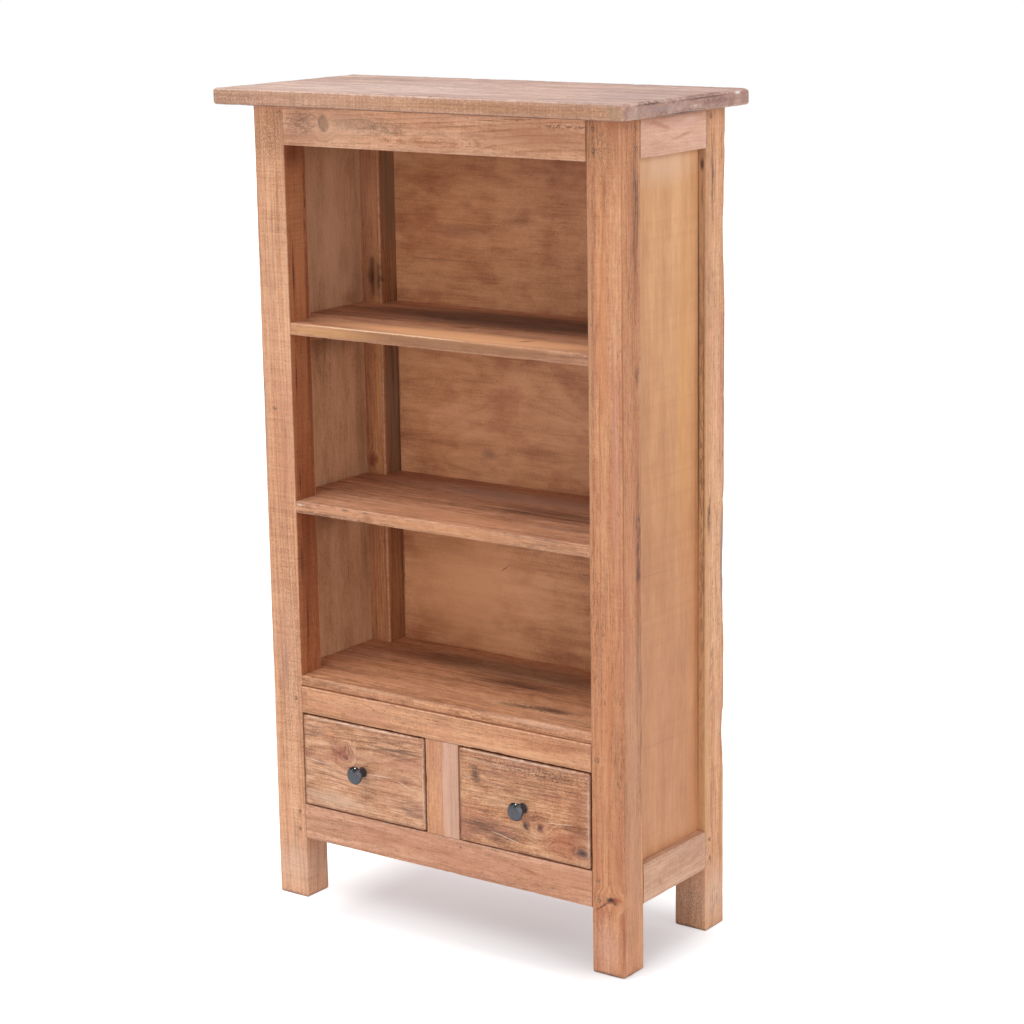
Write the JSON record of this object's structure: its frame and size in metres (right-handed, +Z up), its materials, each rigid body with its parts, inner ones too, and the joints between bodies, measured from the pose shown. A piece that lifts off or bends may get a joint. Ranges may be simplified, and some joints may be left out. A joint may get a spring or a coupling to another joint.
{
  "type": "bookcase",
  "caption": "Rustic pine bookcase: four posts, tenoned rails, panelled sides and back, open shelves over a row of inset drawers with iron knobs.",
  "frame": {"origin": "on the floor, under the middle of the top board", "axes": "+Z up, the front faces -Y, +X is the right-hand side seen from the front"},
  "size_m": [0.75, 0.334, 1.3],
  "materials": {
    "frame_pine": "waxed reclaimed pine, knotty, with eased and worn edges",
    "top_pine": "weathered pale reclaimed pine, dry",
    "shelf_pine": "waxed reclaimed pine with dark streaks",
    "drawer_pine": "waxed reclaimed pine with swirling knots",
    "side_plywood": "pine-faced plywood, upright grain, satin",
    "back_plywood": "pine-faced plywood, brown, satin",
    "inner_wood": "raw unfinished wood",
    "knob_iron": "blackened iron, slightly worn",
    "screw_steel": "plain steel"
  },
  "bodies": {
    "carcass": {"front_left_post": "frame_pine", "front_right_post": "frame_pine", "back_left_post": "frame_pine", "back_right_post": "frame_pine", "top_board": "top_pine", "front_top_rail": "frame_pine", "back_top_rail": "frame_pine", "left_top_rail": "frame_pine", "right_top_rail": "frame_pine", "front_bottom_rail": "frame_pine", "back_bottom_rail": "frame_pine", "left_bottom_rail": "frame_pine", "right_bottom_rail": "frame_pine", "front_drawer_rail": "frame_pine", "centre_stile": "frame_pine", "left_side_panel": "side_plywood", "right_side_panel": "side_plywood", "back_panel": "back_plywood", "upper_shelf": "shelf_pine", "lower_shelf": "shelf_pine", "deck_board": "shelf_pine", "upper_left_cleat": "shelf_pine", "upper_right_cleat": "shelf_pine", "lower_left_cleat": "shelf_pine", "lower_right_cleat": "shelf_pine", "deck_left_cleat": "inner_wood", "deck_right_cleat": "inner_wood", "left_runner": "inner_wood", "right_runner": "inner_wood", "centre_runner": "inner_wood", "centre_guide": "inner_wood", "front_left_top_peg": "inner_wood", "front_left_drawer_peg": "inner_wood", "front_left_bottom_peg": "inner_wood", "front_right_top_peg": "inner_wood", "front_right_drawer_peg": "inner_wood", "front_right_bottom_peg": "inner_wood", "left_front_top_peg": "inner_wood", "left_front_bottom_peg": "inner_wood", "left_back_top_peg": "inner_wood", "left_back_bottom_peg": "inner_wood", "right_front_top_peg": "inner_wood", "right_front_bottom_peg": "inner_wood", "right_back_top_peg": "inner_wood", "right_back_bottom_peg": "inner_wood"},
    "left_drawer": {"left_drawer_front": "drawer_pine", "left_drawer_inner_side": "inner_wood", "left_drawer_outer_side": "inner_wood", "left_drawer_back": "inner_wood", "left_drawer_bottom": "side_plywood", "left_knob": "knob_iron", "left_knob_screw": "screw_steel"},
    "right_drawer": {"right_drawer_front": "drawer_pine", "right_drawer_inner_side": "inner_wood", "right_drawer_outer_side": "inner_wood", "right_drawer_back": "inner_wood", "right_drawer_bottom": "side_plywood", "right_knob": "knob_iron", "right_knob_screw": "screw_steel"}
  },
  "joints": [
    {"name": "left_drawer_slide", "type": "slide", "parent": "carcass", "child": "left_drawer", "axis": [0, -1, 0], "range_m": [0, 0.19]},
    {"name": "right_drawer_slide", "type": "slide", "parent": "carcass", "child": "right_drawer", "axis": [0, -1, 0], "range_m": [0, 0.19]}
  ]
}
